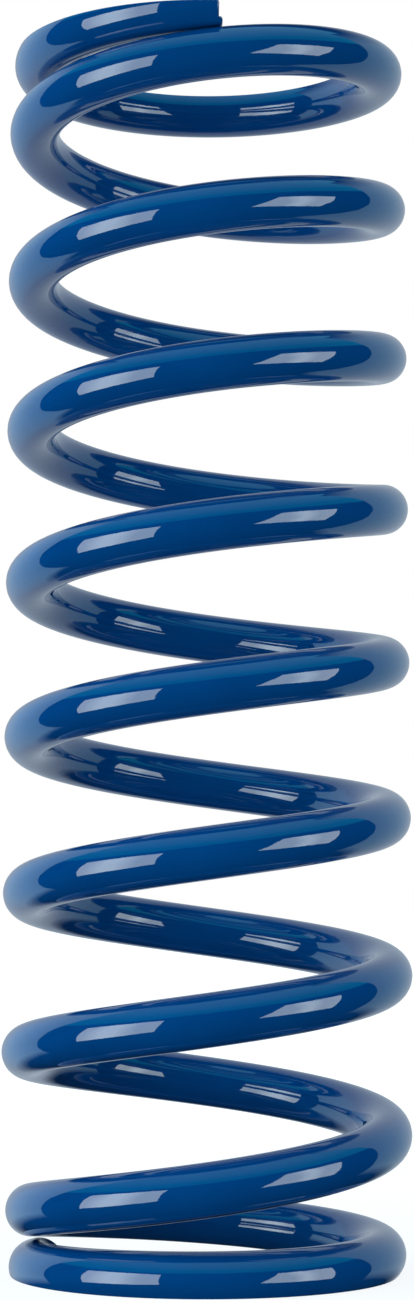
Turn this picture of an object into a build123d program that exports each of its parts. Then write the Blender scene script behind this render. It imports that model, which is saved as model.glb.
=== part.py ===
"""Shock spring: a cylindrical compression spring, wound in one piece from round wire.

The coil axis is Z. The spring stands on its ground bottom end at z = 0, centred
on the axis, and is wound right-handed: seen from above, a turn rises as it runs
anticlockwise. Lengths are in millimetres. Places along the wire are in turns
from the bottom tip, and azimuths in degrees from +X towards +Y.
"""
import os
from math import cos, pi, radians, sin, sqrt

from build123d import *

# Main sizes
free_length = 275.0
wire_diameter = 11.3
bottom_inside_diameter = 64.4
body_inside_diameter = 68.4
top_inside_diameter = 66.4

# Winding, from the bottom tip to the cropped face of the top tip
total_turns = 9.29
bottom_tip_azimuth = 169.0

# At each end the wire lies flat for a closed stretch, then lifts to full pitch
bottom_closed_turns = 0.17
bottom_lift_turns = 1.173
top_closed_turns = 0.47
top_lift_turns = 0.652

# The end turns are wound tighter than the body, and widen over a stretch
bottom_tight_turns = 0.28
bottom_widening_turns = 1.7
top_tight_turns = 0.19
top_widening_turns = 1.2

# Each tip is pressed against the turn beside it, over a short stretch
bottom_press_turns = 0.3
top_press_turns = 0.35
tip_gap = 0.15

# Grinding takes this depth off the closed turns, to leave a flat seat
grind_depth = 2.25

# Cropping the wire leaves an upright end face on the top tip, with a lip below it
crop_lip_length = 0.9
crop_lip_height = 2.3
crop_lip_radius = 0.8
crop_edge_radius = 0.3

# Fineness of the centreline
points_per_turn = 12

# Sizes that follow
wire_radius = wire_diameter / 2
closed_level = wire_radius - grind_depth
contact_distance = wire_diameter + tip_gap
top_radius = top_inside_diameter / 2 + wire_radius
lip_turns = crop_lip_length / (2 * pi * top_radius)
wire_turns = total_turns + lip_turns
point_count = round(wire_turns * points_per_turn) + 1
turns = [wire_turns * i / (point_count - 1) for i in range(point_count)]
top_lift_start = total_turns - top_closed_turns - top_lift_turns


def smooth(x):
    """Rise from 0 to 1, with no slope at either end."""
    x = min(max(x, 0.0), 1.0)
    return x * x * (3 - 2 * x)


def smooth_area(x):
    """Area under smooth, from 0 to x."""
    if x > 1:
        return x - 0.5
    x = max(x, 0.0)
    return x ** 3 - x ** 4 / 2


def coil_radius(t):
    """Radius of the centreline, from the three inside diameters."""
    bottom_share = 1 - smooth((t - bottom_tight_turns) / bottom_widening_turns)
    top_share = 1 - smooth((total_turns - top_tight_turns - t) / top_widening_turns)
    inside = body_inside_diameter
    inside += (bottom_inside_diameter - body_inside_diameter) * bottom_share
    inside += (top_inside_diameter - body_inside_diameter) * top_share
    return inside / 2 + wire_radius


def pitches_risen(t):
    """Rise of the wound wire, in full pitches: none where closed, one a turn in the body."""
    lift = bottom_lift_turns * smooth_area((t - bottom_closed_turns) / bottom_lift_turns)
    settle = top_lift_turns * smooth_area((t - top_lift_start) / top_lift_turns)
    return lift - settle


# The pitch makes the rise fill the free length
full_pitch = (free_length - 2 * closed_level) / pitches_risen(total_turns)


def wound_height(t):
    """Height of the centreline before the tips are pressed in."""
    return closed_level + full_pitch * pitches_risen(t)


def contact_rise(lower, upper):
    """Height between the centrelines of two turns where they touch."""
    offset = coil_radius(upper) - coil_radius(lower)
    return sqrt(contact_distance ** 2 - offset ** 2)


# How far each tip moves to meet the turn beside it
bottom_press = wound_height(0) + contact_rise(0, 1) - wound_height(1)
top_press = wound_height(total_turns - 1) - wound_height(total_turns)
top_press += contact_rise(total_turns - 1, total_turns)


def pressed_height(t):
    """Height of the centreline in the finished spring."""
    bottom_share = max(1 - t / bottom_press_turns, 0.0) ** 2
    top_share = max(1 - (total_turns - t) / top_press_turns, 0.0) ** 2
    return wound_height(t) - bottom_press * bottom_share + top_press * top_share


def azimuth(t):
    """Angle around the coil axis, in radians."""
    return radians(bottom_tip_azimuth) + 2 * pi * t


def centre(t):
    """Point on the centreline."""
    angle = azimuth(t)
    return Vector(coil_radius(t) * cos(angle), coil_radius(t) * sin(angle), pressed_height(t))


def inward(t):
    """Direction from the centreline to the coil axis."""
    return Vector(-cos(azimuth(t)), -sin(azimuth(t)), 0)


# The crop plane stands upright across the wire
crop_plane = Plane(
    origin=centre(total_turns),
    x_dir=inward(total_turns),
    z_dir=inward(total_turns).rotate(Axis.Z, -90),
)

with BuildPart() as coil_spring:
    # Round wire, swept along the whole coil
    with BuildLine() as wire_path:
        Spline(*[centre(t) for t in turns])
    bottom_tip_plane = Plane(wire_path.line @ 0, inward(0), wire_path.line % 0)
    top_lip_plane = Plane(origin=wire_path.line @ 1, z_dir=wire_path.line % 1)
    with BuildSketch(bottom_tip_plane):
        Circle(wire_radius)
    sweep(path=wire_path.line, is_frenet=True)

    # Rounded ends of the wire
    fillet(coil_spring.faces().filter_by(bottom_tip_plane).edges(), crop_edge_radius)
    fillet(coil_spring.faces().filter_by(top_lip_plane).edges(), crop_lip_radius)

    # Ground seats, square to the coil axis
    split(bisect_by=Plane.XY, keep=Keep.TOP)
    split(bisect_by=Plane.XY.offset(free_length), keep=Keep.BOTTOM)

    # Cropped end face of the top tip, above its lip
    with BuildSketch(crop_plane):
        with Locations((0, crop_lip_height - wire_radius)):
            Rectangle(2 * wire_diameter, wire_diameter, align=(Align.CENTER, Align.MIN))
    extrude(amount=2 * crop_lip_length, mode=Mode.SUBTRACT)
    crop_edges = coil_spring.faces().filter_by(crop_plane).edges()
    fillet(crop_edges.sort_by(Axis.Z)[1:], crop_edge_radius)

os.makedirs("parts", exist_ok=True)
coil_spring.part.label = "coil_spring"
export_step(coil_spring.part, "parts/coil_spring.step")
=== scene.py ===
"""Shock spring: the looks of a blue coated coil spring, standing on a white studio floor.

Lengths are in metres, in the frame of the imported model: Z is the coil axis, and
the spring stands on z = 0 with its front towards -Y. Places along the wire are
in turns from the bottom tip.
"""

import bmesh
import bpy
import numpy as np
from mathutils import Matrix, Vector


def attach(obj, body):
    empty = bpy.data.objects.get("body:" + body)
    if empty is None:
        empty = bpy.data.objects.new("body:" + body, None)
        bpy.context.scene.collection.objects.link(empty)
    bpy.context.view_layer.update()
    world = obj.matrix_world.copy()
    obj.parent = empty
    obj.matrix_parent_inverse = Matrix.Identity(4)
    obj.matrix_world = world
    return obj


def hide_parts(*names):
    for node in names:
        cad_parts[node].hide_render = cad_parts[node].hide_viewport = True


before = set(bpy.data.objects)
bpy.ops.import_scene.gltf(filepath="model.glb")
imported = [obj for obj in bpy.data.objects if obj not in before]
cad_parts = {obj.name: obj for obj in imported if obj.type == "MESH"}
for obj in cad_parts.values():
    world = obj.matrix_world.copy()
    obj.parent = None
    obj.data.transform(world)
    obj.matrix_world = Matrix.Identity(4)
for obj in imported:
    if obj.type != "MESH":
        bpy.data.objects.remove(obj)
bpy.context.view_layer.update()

# Sizes of the spring, the same as in the part's source but for the lip of the cropped tip
FREE_LENGTH = 0.275
WIRE_DIAMETER = 0.0113
BOTTOM_INSIDE_DIAMETER = 0.0644
BODY_INSIDE_DIAMETER = 0.0684
TOP_INSIDE_DIAMETER = 0.0664
TOTAL_TURNS = 9.29
BOTTOM_TIP_AZIMUTH = 169.0
BOTTOM_CLOSED_TURNS = 0.17
BOTTOM_LIFT_TURNS = 1.173
TOP_CLOSED_TURNS = 0.47
TOP_LIFT_TURNS = 0.652
BOTTOM_TIGHT_TURNS = 0.28
BOTTOM_WIDENING_TURNS = 1.7
TOP_TIGHT_TURNS = 0.19
TOP_WIDENING_TURNS = 1.2
BOTTOM_PRESS_TURNS = 0.3
TOP_PRESS_TURNS = 0.35
TIP_GAP = 0.00015
GRIND_DEPTH = 0.00225
CROP_LIP_LENGTH = 0.0010
CROP_LIP_HEIGHT = 0.0017

# Rounded edges, as the coating leaves them
SEAT_EDGE = 0.0002
CROP_EDGE = 0.0004
LIP_EDGE = 0.00085
FADE_ABOVE_LIP = 0.0006

# Fineness of the mesh
STATIONS_PER_TURN = 96
RING_POINTS = 72
SEAT_LINE_ANGLE = 0.4
EDGE_STEPS = 6
MERGE_DISTANCE = 1e-7
SLOPE_STEP = 1e-4

# Faces that count as flat, and the angle from which an edge is sharp
FLAT_COSINE = 0.99999
FLAT_DISTANCE = 1e-6
SHARP_ANGLE = 40.0

# Sizes that follow
WIRE_RADIUS = WIRE_DIAMETER / 2
CLOSED_LEVEL = WIRE_RADIUS - GRIND_DEPTH
CONTACT_DISTANCE = WIRE_DIAMETER + TIP_GAP
TOP_LIFT_START = TOTAL_TURNS - TOP_CLOSED_TURNS - TOP_LIFT_TURNS
LIP_LEVEL = CROP_LIP_HEIGHT - WIRE_RADIUS

# Camera, fitted to the outline of the spring in the photograph
CAMERA_PLACE = (0.0, -0.66799, 0.08225)
CAMERA_PITCH = 0.14104
FOCAL_PIXELS = 2963.7
PRINCIPAL_ROW = 473.7
PRINCIPAL_COLUMN = 207.28
IMAGE_WIDTH = 414
IMAGE_HEIGHT = 1300
SENSOR = 36.0


def smooth(x):
    """Rise from 0 to 1, with no slope at either end."""
    x = np.clip(x, 0.0, 1.0)
    return x * x * (3 - 2 * x)


def smooth_area(x):
    """Area under smooth, from 0 to x."""
    inner = np.clip(x, 0.0, 1.0)
    return inner ** 3 - inner ** 4 / 2 + np.maximum(x - 1, 0.0)


def coil_radius(t):
    """Radius of the centreline, from the three inside diameters."""
    bottom_share = 1 - smooth((t - BOTTOM_TIGHT_TURNS) / BOTTOM_WIDENING_TURNS)
    top_share = 1 - smooth((TOTAL_TURNS - TOP_TIGHT_TURNS - t) / TOP_WIDENING_TURNS)
    inside = BODY_INSIDE_DIAMETER
    inside = inside + (BOTTOM_INSIDE_DIAMETER - BODY_INSIDE_DIAMETER) * bottom_share
    inside = inside + (TOP_INSIDE_DIAMETER - BODY_INSIDE_DIAMETER) * top_share
    return inside / 2 + WIRE_RADIUS


def pitches_risen(t):
    """Rise of the wound wire, in full pitches."""
    lift = BOTTOM_LIFT_TURNS * smooth_area((t - BOTTOM_CLOSED_TURNS) / BOTTOM_LIFT_TURNS)
    settle = TOP_LIFT_TURNS * smooth_area((t - TOP_LIFT_START) / TOP_LIFT_TURNS)
    return lift - settle


FULL_PITCH = (FREE_LENGTH - 2 * CLOSED_LEVEL) / pitches_risen(TOTAL_TURNS)


def wound_height(t):
    """Height of the centreline before the tips are pressed in."""
    return CLOSED_LEVEL + FULL_PITCH * pitches_risen(t)


def contact_rise(lower, upper):
    """Height between the centrelines of two turns where they touch."""
    offset = coil_radius(upper) - coil_radius(lower)
    return np.sqrt(CONTACT_DISTANCE ** 2 - offset ** 2)


BOTTOM_PRESS = wound_height(0) + contact_rise(0, 1) - wound_height(1)
TOP_PRESS = wound_height(TOTAL_TURNS - 1) - wound_height(TOTAL_TURNS)
TOP_PRESS += contact_rise(TOTAL_TURNS - 1, TOTAL_TURNS)


def centre_height(t):
    """Height of the centreline in the finished spring."""
    bottom_share = np.maximum(1 - t / BOTTOM_PRESS_TURNS, 0.0) ** 2
    top_share = np.maximum(1 - (TOTAL_TURNS - t) / TOP_PRESS_TURNS, 0.0) ** 2
    return wound_height(t) - BOTTOM_PRESS * bottom_share + TOP_PRESS * top_share


def slope_cosine(t):
    """Cosine of the wire's rise at t."""
    rise = (centre_height(t + SLOPE_STEP) - centre_height(t - SLOPE_STEP)) / (2 * SLOPE_STEP)
    return 1 / np.sqrt(1 + (rise / (2 * np.pi * coil_radius(t))) ** 2)


def ring_angles():
    """Angles round the wire, with two close to each seat's middle line."""
    even = (np.arange(RING_POINTS) + 0.5) * 360 / RING_POINTS
    lines = [pole + side * SEAT_LINE_ANGLE for pole in (90, 270) for side in (-1, 1)]
    return np.radians(np.sort(np.concatenate([even, lines])))


ANGLES = ring_angles()


def section(top, bottom, inset):
    """Points of the wire's section, flat above top and below bottom, with rounded corners."""
    core = WIRE_RADIUS - SEAT_EDGE - inset
    x = core * np.cos(ANGLES)
    y = core * np.sin(ANGLES)
    upper = top - SEAT_EDGE - inset
    lower = bottom + SEAT_EDGE + inset
    for level, over in ((upper, y > upper), (lower, y < lower)):
        corner = np.sqrt(max(core ** 2 - level ** 2, 0.0))
        x = np.where(over, np.sign(x) * corner, x)
        y = np.where(over, level, y)
    return x + SEAT_EDGE * np.cos(ANGLES), y + SEAT_EDGE * np.sin(ANGLES)


def ring(t, inset=0.0, top=None, shrink=0.0):
    """Ring of points at t, in the upright plane through the coil axis."""
    cosine = slope_cosine(t)
    height = centre_height(t)
    seat = (FREE_LENGTH - height) * cosine
    ground = -height * cosine
    x, y = section(seat if top is None else top, ground, inset)
    if shrink:
        small_x, small_y = section(seat, ground, shrink)
        share = smooth((y - LIP_LEVEL) / FADE_ABOVE_LIP)
        x = x + (small_x - x) * share
        y = y + (small_y - y) * share
    angle = np.radians(BOTTOM_TIP_AZIMUTH) + 2 * np.pi * t
    out = coil_radius(t) + x
    return np.stack([out * np.cos(angle), out * np.sin(angle), height + y / cosine], axis=1)


def edge_insets(radius, length):
    """Steps towards an end with a quarter-round edge: distance to the end, and inset."""
    turn = np.linspace(0, np.pi / 2, EDGE_STEPS + 1)[1:]
    steps = [(radius * (1 - np.sin(a)), radius * (1 - np.cos(a))) for a in turn]
    return [(length, 0.0)] + steps if length > radius else steps


def turns_of(length, t):
    """Turns that a length along the wire takes at t."""
    return length / (2 * np.pi * coil_radius(t))


def wire_rings():
    """Rings from the bottom tip's end face to the end of the top lip."""
    rings = []
    for distance, inset in reversed(edge_insets(CROP_EDGE, CROP_EDGE)):
        rings.append(ring(turns_of(distance, 0.0), inset=inset))
    start = turns_of(CROP_EDGE, 0.0)
    stop = TOTAL_TURNS - turns_of(CROP_EDGE, TOTAL_TURNS)
    count = round((stop - start) * STATIONS_PER_TURN)
    for t in np.linspace(start, stop, count + 1):
        rings.append(ring(t))
    for distance, inset in edge_insets(CROP_EDGE, CROP_EDGE):
        rings.append(ring(TOTAL_TURNS - turns_of(distance, TOTAL_TURNS), shrink=inset))
    rings.append(ring(TOTAL_TURNS, top=LIP_LEVEL))
    for distance, inset in edge_insets(LIP_EDGE, CROP_LIP_LENGTH):
        t = TOTAL_TURNS + turns_of(CROP_LIP_LENGTH - distance, TOTAL_TURNS)
        rings.append(ring(t, top=LIP_LEVEL, inset=inset))
    return rings


def wire_mesh():
    """The coated wire as one closed mesh."""
    rings = wire_rings()
    around = len(ANGLES)
    points = np.concatenate(rings + [rings[0].mean(0)[None], rings[-1].mean(0)[None]])
    first_hub = len(points) - 2
    last_hub = len(points) - 1
    last_start = (len(rings) - 1) * around
    faces = []
    for j in range(len(rings) - 1):
        a, b = j * around, (j + 1) * around
        for i in range(around):
            k = (i + 1) % around
            faces.append((a + i, b + i, b + k, a + k))
    for i in range(around):
        k = (i + 1) % around
        faces.append((first_hub, i, k))
        faces.append((last_hub, last_start + k, last_start + i))
    mesh = bpy.data.meshes.new("coated_wire")
    mesh.from_pydata(points.tolist(), [], faces)
    mesh.update()
    return mesh


# Softboxes. Their corners are given in degrees to the right of the camera and above the
# level, as seen from the middle of the spring.
STUDIO_CENTRE = (0.0, 0.0, 0.1375)
SOFTBOX_DISTANCE = 1.25
LEFT_PANEL = {
    "corners": [(-75.0, -20.5), (-27.0, -20.5), (-27.0, 17.5), (-75.0, 17.5)],
    "level": 3.0,
    "core": 1.7,
    "core_from": (0.1, 0.35),
    "core_to": (0.5, 0.75),
}
RIGHT_PANEL = {
    "corners": [(30.0, -18.5), (75.0, -18.5), (77.0, 15.5), (41.0, 15.5)],
    "level": 2.9,
    "core": 1.3,
    "core_from": (0.4, 0.55),
    "core_to": (0.6, 0.75),
}

# Soft lamp at the side
SIDE_BOX = {"azimuth": -100.0, "elevation": 25.0, "size": 1.15, "level": 1.6}
SIDE_COLOUR = (0.6, 0.9, 1.0)

# Floor, which glows to the camera only
FLOOR_SIZE = 12.0
FLOOR_COLOUR = (0.22, 0.22, 0.22, 1.0)
FLOOR_GLOW_NEAR = 0.88
FLOOR_GLOW_FAR = 1.0
FLOOR_GLOW_REACH = (0.10, 0.60)

# What the reflections show: a pale wall behind the spring, a pale ceiling and a dark room.
# To the camera, the room is white.
BACKDROP = (0.35, 0.42, 0.50, 1.0)
LEFT_BACKDROP = (0.50, 0.80, 0.98, 1.0)
RIGHT_BACKDROP = (0.34, 0.52, 0.58, 1.0)
BACKDROP_RADIUS = 0.23
BACKDROP_START = 98.5
BACKDROP_LEVELS = (-0.10, 0.55)
BACKDROP_FOOT = (-0.10, -0.045)
BACKDROP_STEPS = 48
BACKDROP_FADE = (0.40, 0.55)
BACKDROP_SIDES = (0.11, 0.22)
LOW_CEILING = (0.02, 0.46, 0.62, 1.0)
HIGH_CEILING = (0.26, 0.66, 0.88, 1.0)
CEILING_EDGE = (0.50, 0.54)
CEILING_RISE = (0.65, 0.98)
CEILING_BACK = (0.30, 0.42)
ROOM = (0.005, 0.01, 0.012, 1.0)
WHITE = (1.0, 1.0, 1.0, 1.0)

# Blue coating: its colours, and the clear surface over them
COATING_BLUE = (0.0, 0.067, 0.260, 1.0)
COATING_DEEP_BLUE = (0.0, 0.058, 0.232, 1.0)
# Painted shade: the coating is darkened towards this colour in the gaps where two turns nearly touch
CREVICE_SHADE_BLUE = (0.0, 0.025, 0.110, 1.0)
SHEEN_TINT = (0.6, 0.92, 1.0, 1.0)
COATING_IOR = 1.5
CLEAR_ROUGHNESS = 0.02
UNDER_ROUGHNESS = (0.02, 0.05)

# Grain of the coating: how many waves a metre, and how strongly they show
NOISE_SPAN = (0.3, 0.7)
TONE_GRAIN = 60.0
TONE_DETAIL = 4.0
FINISH_GRAIN = 350.0
FINISH_DETAIL = 3.0
RIPPLE_GRAIN = 260.0
RIPPLE_DETAIL = 1.5
RIPPLE_STRENGTH = 0.12
RIPPLE_HEIGHT = 0.0002
# Gap to the next turn below which the painted shade starts
CREVICE_SHADE_DEPTH = 0.0008


def crevice_shade_shares(points):
    """How deep each point lies in the gap to the next turn, from 0 to 1, which is how much painted shade
    it gets.
    """
    azimuths = np.degrees(np.arctan2(points[:, 1], points[:, 0]))
    first = ((azimuths - BOTTOM_TIP_AZIMUTH) % 360) / 360
    out = np.hypot(points[:, 0], points[:, 1])
    gaps = []
    for whole in range(int(TOTAL_TURNS) + 1):
        t = first + whole
        up = (points[:, 2] - centre_height(t)) * slope_cosine(t)
        gap = np.hypot(out - coil_radius(t), up) - WIRE_RADIUS
        gaps.append(np.where(t <= TOTAL_TURNS, gap, np.inf))
    to_next_turn = np.sort(gaps, axis=0)[1]
    return smooth(1 - to_next_turn / CREVICE_SHADE_DEPTH)


def node(tree, kind, **values):
    """New shader node, with its named inputs set."""
    made = tree.nodes.new(kind)
    for name, value in values.items():
        made.inputs[name.replace("_", " ")].default_value = value
    return made


def noise(tree, coords, scale, detail):
    """Noise over the object, as a number."""
    made = node(tree, "ShaderNodeTexNoise", Scale=scale, Detail=detail)
    tree.links.new(coords.outputs["Object"], made.inputs["Vector"])
    return made.outputs["Fac"]


def ranged(tree, value, low, high, steps=NOISE_SPAN):
    """A number taken from the range of steps to the range from low to high."""
    made = node(tree, "ShaderNodeMapRange", From_Min=steps[0], From_Max=steps[1], To_Min=low, To_Max=high)
    tree.links.new(value, made.inputs["Value"])
    return made.outputs["Result"]


def times(tree, first, second):
    """Product of two numbers."""
    made = tree.nodes.new("ShaderNodeMath")
    made.operation = "MULTIPLY"
    tree.links.new(first, made.inputs[0])
    tree.links.new(second, made.inputs[1])
    return made.outputs[0]


def mixed(tree, share, first, second):
    """Colour between two others, each a value or another node's colour."""
    made = tree.nodes.new("ShaderNodeMix")
    made.data_type = "RGBA"
    tree.links.new(share, made.inputs["Factor"])
    for name, colour in (("A", first), ("B", second)):
        if isinstance(colour, tuple):
            made.inputs[name].default_value = colour
        else:
            tree.links.new(colour, made.inputs[name])
    return made.outputs["Result"]


def coating_material():
    """Glossy blue powder coat: a clear, slightly rippled surface over an even colour, which is darkened
    by painted shade where two turns nearly touch.
    """
    material = bpy.data.materials.new("blue_coating")
    material.use_nodes = True
    tree = material.node_tree
    shader = tree.nodes["Principled BSDF"]
    coords = tree.nodes.new("ShaderNodeTexCoord")
    shader.inputs["IOR"].default_value = COATING_IOR
    shader.inputs["Coat Weight"].default_value = 1.0
    shader.inputs["Coat Roughness"].default_value = CLEAR_ROUGHNESS
    shader.inputs["Coat IOR"].default_value = COATING_IOR
    shader.inputs["Specular Tint"].default_value = SHEEN_TINT

    share = ranged(tree, noise(tree, coords, TONE_GRAIN, TONE_DETAIL), 0.0, 1.0)
    tone = mixed(tree, share, COATING_BLUE, COATING_DEEP_BLUE)
    # Painted shade: the colour turns darker in the gap where two turns nearly touch
    crevice_shade = tree.nodes.new("ShaderNodeAttribute")
    crevice_shade.attribute_name = "crevice_shade"
    colour = mixed(tree, crevice_shade.outputs["Fac"], tone, CREVICE_SHADE_BLUE)
    tree.links.new(colour, shader.inputs["Base Color"])

    finish = noise(tree, coords, FINISH_GRAIN, FINISH_DETAIL)
    tree.links.new(ranged(tree, finish, *UNDER_ROUGHNESS), shader.inputs["Roughness"])
    ripple = node(tree, "ShaderNodeBump", Strength=RIPPLE_STRENGTH, Distance=RIPPLE_HEIGHT)
    tree.links.new(noise(tree, coords, RIPPLE_GRAIN, RIPPLE_DETAIL), ripple.inputs["Height"])
    tree.links.new(ripple.outputs["Normal"], shader.inputs["Normal"])
    tree.links.new(ripple.outputs["Normal"], shader.inputs["Coat Normal"])
    return material


def shade(mesh):
    """Smooth shading, but flat on the ground seats, the cropped face and the cut ends."""
    count = len(mesh.polygons)
    normals = np.empty(3 * count)
    mesh.polygons.foreach_get("normal", normals)
    normals = normals.reshape(count, 3)
    centres = np.empty(3 * count)
    mesh.polygons.foreach_get("center", centres)
    centres = centres.reshape(count, 3)
    flat = np.abs(normals[:, 2]) > FLAT_COSINE
    for t in (0.0, TOTAL_TURNS, TOTAL_TURNS + turns_of(CROP_LIP_LENGTH, TOTAL_TURNS)):
        angle = np.radians(BOTTOM_TIP_AZIMUTH) + 2 * np.pi * t
        outward = np.array([np.cos(angle), np.sin(angle), 0.0])
        along = np.array([-np.sin(angle), np.cos(angle), 0.0])
        in_plane = (np.abs(centres @ along) < FLAT_DISTANCE) & (centres @ outward > 0)
        flat |= in_plane & (np.abs(normals @ along) > FLAT_COSINE)
    mesh.polygons.foreach_set("use_smooth", ~flat)
    mesh.set_sharp_from_angle(angle=np.radians(SHARP_ANGLE))


def make_spring():
    """The coated spring, which stands for the plain solid of the wire."""
    mesh = wire_mesh()
    edit = bmesh.new()
    edit.from_mesh(mesh)
    bmesh.ops.remove_doubles(edit, verts=edit.verts, dist=MERGE_DISTANCE)
    edit.to_mesh(mesh)
    edit.free()
    shade(mesh)
    points = np.array([v.co for v in mesh.vertices])
    # Painted shade: how deep each point lies in the gap to the next turn
    crevice_shade = mesh.attributes.new("crevice_shade", "FLOAT", "POINT")
    crevice_shade.data.foreach_set("value", crevice_shade_shares(points))
    piece = bpy.data.objects.new("coated_spring", mesh)
    bpy.context.scene.collection.objects.link(piece)
    mesh.materials.append(coating_material())
    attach(piece, "root")
    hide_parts("coil_spring")


def make_floor():
    """Pale floor, white to the camera where the spring casts no shadow."""
    half = FLOOR_SIZE / 2
    corners = [(-half, -half, 0.0), (half, -half, 0.0), (half, half, 0.0), (-half, half, 0.0)]
    mesh = bpy.data.meshes.new("floor")
    mesh.from_pydata(corners, [], [(0, 1, 2, 3)])
    floor = bpy.data.objects.new("floor", mesh)
    bpy.context.scene.collection.objects.link(floor)
    material = bpy.data.materials.new("pale_floor")
    material.use_nodes = True
    tree = material.node_tree
    tree.nodes.remove(tree.nodes["Principled BSDF"])
    matt = node(tree, "ShaderNodeBsdfDiffuse", Color=FLOOR_COLOUR)
    coords = tree.nodes.new("ShaderNodeTexCoord")
    reach = tree.nodes.new("ShaderNodeVectorMath")
    reach.operation = "LENGTH"
    tree.links.new(coords.outputs["Object"], reach.inputs[0])
    strength = ranged(tree, reach.outputs["Value"], FLOOR_GLOW_NEAR, FLOOR_GLOW_FAR, FLOOR_GLOW_REACH)
    path = tree.nodes.new("ShaderNodeLightPath")
    level = tree.nodes.new("ShaderNodeMath")
    level.operation = "MULTIPLY"
    tree.links.new(strength, level.inputs[1])
    glow = tree.nodes.new("ShaderNodeEmission")
    both = tree.nodes.new("ShaderNodeAddShader")
    tree.links.new(path.outputs["Is Camera Ray"], level.inputs[0])
    tree.links.new(level.outputs[0], glow.inputs["Strength"])
    tree.links.new(matt.outputs[0], both.inputs[0])
    tree.links.new(glow.outputs[0], both.inputs[1])
    tree.links.new(both.outputs[0], tree.nodes["Material Output"].inputs["Surface"])
    mesh.materials.append(material)
    floor.visible_glossy = False
    floor.visible_shadow = False


def make_backdrop():
    """Pale wall round the back of the spring, which shows only in its reflections."""
    turn = np.radians(np.linspace(BACKDROP_START, 360 - BACKDROP_START, BACKDROP_STEPS + 1))
    x = BACKDROP_RADIUS * np.sin(turn)
    y = -BACKDROP_RADIUS * np.cos(turn)
    levels = [np.full_like(x, level) for level in BACKDROP_LEVELS]
    points = np.concatenate([np.stack([x, y, z], axis=1) for z in levels])
    top = BACKDROP_STEPS + 1
    faces = [(i, i + 1, top + i + 1, top + i) for i in range(BACKDROP_STEPS)]
    mesh = bpy.data.meshes.new("backdrop")
    mesh.from_pydata(points.tolist(), [], faces)
    backdrop = bpy.data.objects.new("backdrop", mesh)
    bpy.context.scene.collection.objects.link(backdrop)
    material = bpy.data.materials.new("pale_backdrop")
    material.use_nodes = True
    tree = material.node_tree
    tree.nodes.remove(tree.nodes["Principled BSDF"])
    coords = tree.nodes.new("ShaderNodeTexCoord")
    axes = tree.nodes.new("ShaderNodeSeparateXYZ")
    tree.links.new(coords.outputs["Object"], axes.inputs[0])
    left = ranged(tree, axes.outputs["X"], 1.0, 0.0, (-BACKDROP_SIDES[1], -BACKDROP_SIDES[0]))
    right = ranged(tree, axes.outputs["X"], 0.0, 1.0, BACKDROP_SIDES)
    wall = mixed(tree, right, mixed(tree, left, BACKDROP, LEFT_BACKDROP), RIGHT_BACKDROP)
    foot = ranged(tree, axes.outputs["Z"], 0.0, 1.0, BACKDROP_FOOT)
    fade = times(tree, foot, ranged(tree, axes.outputs["Z"], 1.0, 0.0, BACKDROP_FADE))
    glow = tree.nodes.new("ShaderNodeEmission")
    tree.links.new(mixed(tree, fade, ROOM, wall), glow.inputs["Color"])
    tree.links.new(glow.outputs[0], tree.nodes["Material Output"].inputs["Surface"])
    mesh.materials.append(material)
    backdrop.visible_camera = False
    backdrop.visible_shadow = False


def make_world():
    """White to the camera, and for the spring a dim room with a pale ceiling."""
    world = bpy.data.worlds.new("studio")
    bpy.context.scene.world = world
    world.use_nodes = True
    tree = world.node_tree
    room = tree.nodes["Background"]
    white = node(tree, "ShaderNodeBackground", Color=WHITE, Strength=1.0)
    coords = tree.nodes.new("ShaderNodeTexCoord")
    axes = tree.nodes.new("ShaderNodeSeparateXYZ")
    tree.links.new(coords.outputs["Generated"], axes.inputs[0])
    height = ranged(tree, axes.outputs["Z"], 0.0, 1.0, CEILING_RISE)
    ceiling = mixed(tree, height, LOW_CEILING, HIGH_CEILING)
    overhead = ranged(tree, axes.outputs["Z"], 0.0, 1.0, CEILING_EDGE)
    in_front = ranged(tree, axes.outputs["Y"], 1.0, 0.0, CEILING_BACK)
    tree.links.new(mixed(tree, times(tree, overhead, in_front), ROOM, ceiling), room.inputs["Color"])
    path = tree.nodes.new("ShaderNodeLightPath")
    chosen = tree.nodes.new("ShaderNodeMixShader")
    tree.links.new(path.outputs["Is Camera Ray"], chosen.inputs[0])
    tree.links.new(room.outputs[0], chosen.inputs[1])
    tree.links.new(white.outputs[0], chosen.inputs[2])
    tree.links.new(chosen.outputs[0], tree.nodes["World Output"].inputs["Surface"])


def direction(azimuth, elevation):
    """Direction from the middle of the spring, with azimuth 0 towards the camera."""
    a = np.radians(azimuth)
    e = np.radians(elevation)
    return Vector((np.sin(a) * np.cos(e), -np.cos(a) * np.cos(e), np.sin(e)))


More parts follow.
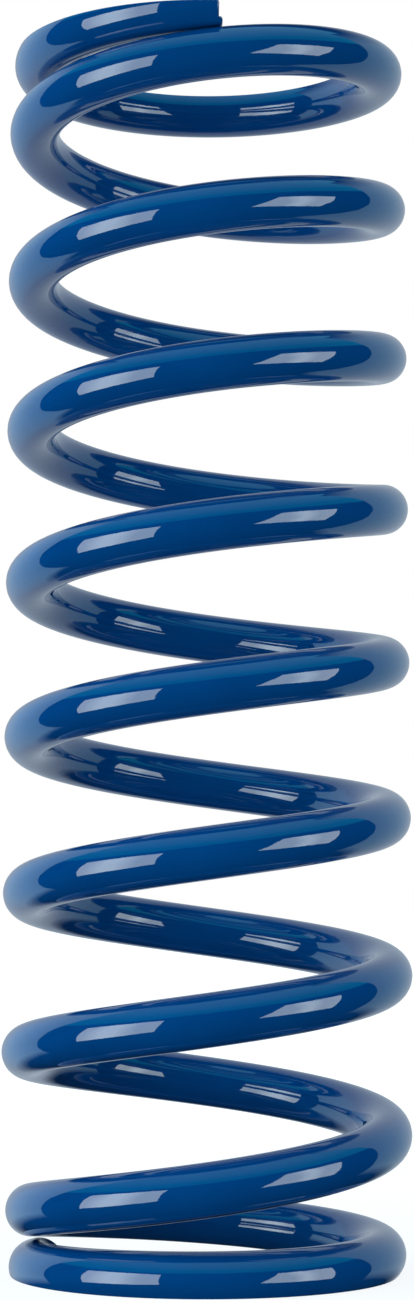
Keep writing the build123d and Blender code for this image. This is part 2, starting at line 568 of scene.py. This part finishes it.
def make_panel(name, corners, level, core, core_from, core_to):
    """Glowing panel of a softbox, with a brighter upright band where its tube is."""
    points = [Vector(STUDIO_CENTRE) + direction(*corner) * SOFTBOX_DISTANCE for corner in corners]
    mesh = bpy.data.meshes.new(name)
    mesh.from_pydata(points, [], [(0, 1, 2, 3)])
    panel = bpy.data.objects.new(name, mesh)
    bpy.context.scene.collection.objects.link(panel)
    material = bpy.data.materials.new(name)
    material.use_nodes = True
    tree = material.node_tree
    tree.nodes.remove(tree.nodes["Principled BSDF"])
    coords = tree.nodes.new("ShaderNodeTexCoord")
    axes = tree.nodes.new("ShaderNodeSeparateXYZ")
    tree.links.new(coords.outputs["Generated"], axes.inputs[0])
    rise = ranged(tree, axes.outputs["X"], 0.0, 1.0, core_from)
    fall = ranged(tree, axes.outputs["X"], core, 0.0, core_to)
    total = tree.nodes.new("ShaderNodeMath")
    total.operation = "ADD"
    total.inputs[1].default_value = level
    tree.links.new(times(tree, rise, fall), total.inputs[0])
    glow = tree.nodes.new("ShaderNodeEmission")
    tree.links.new(total.outputs[0], glow.inputs["Strength"])
    tree.links.new(glow.outputs[0], tree.nodes["Material Output"].inputs["Surface"])
    mesh.materials.append(material)
    panel.visible_camera = False


def make_fill():
    """Soft lamp at the left, which lights the coating but shows in no reflection."""
    towards = direction(SIDE_BOX["azimuth"], SIDE_BOX["elevation"])
    lamp = bpy.data.lights.new("side_fill", "AREA")
    lamp.size = SIDE_BOX["size"]
    lamp.energy = SIDE_BOX["level"] * np.pi * lamp.size ** 2
    lamp.color = SIDE_COLOUR
    holder = bpy.data.objects.new("side_fill", lamp)
    holder.location = Vector(STUDIO_CENTRE) + towards * SOFTBOX_DISTANCE
    holder.rotation_euler = towards.to_track_quat("Z", "Y").to_euler()
    holder.visible_glossy = False
    bpy.context.scene.collection.objects.link(holder)


def make_camera():
    """Camera with the photograph's viewpoint and framing."""
    data = bpy.data.cameras.new("camera")
    data.sensor_width = SENSOR
    data.lens = FOCAL_PIXELS * SENSOR / IMAGE_HEIGHT
    data.shift_x = (IMAGE_WIDTH / 2 - PRINCIPAL_COLUMN) / IMAGE_HEIGHT
    data.shift_y = (PRINCIPAL_ROW - IMAGE_HEIGHT / 2) / IMAGE_HEIGHT
    camera = bpy.data.objects.new("camera", data)
    camera.location = CAMERA_PLACE
    camera.rotation_euler = (np.pi / 2 + CAMERA_PITCH, 0.0, 0.0)
    bpy.context.scene.collection.objects.link(camera)
    bpy.context.scene.camera = camera


make_camera()
make_spring()
make_floor()
make_backdrop()
make_world()
make_panel("left_softbox", **LEFT_PANEL)
make_panel("right_softbox", **RIGHT_PANEL)
make_fill()
bpy.context.scene.view_settings.view_transform = "Standard"
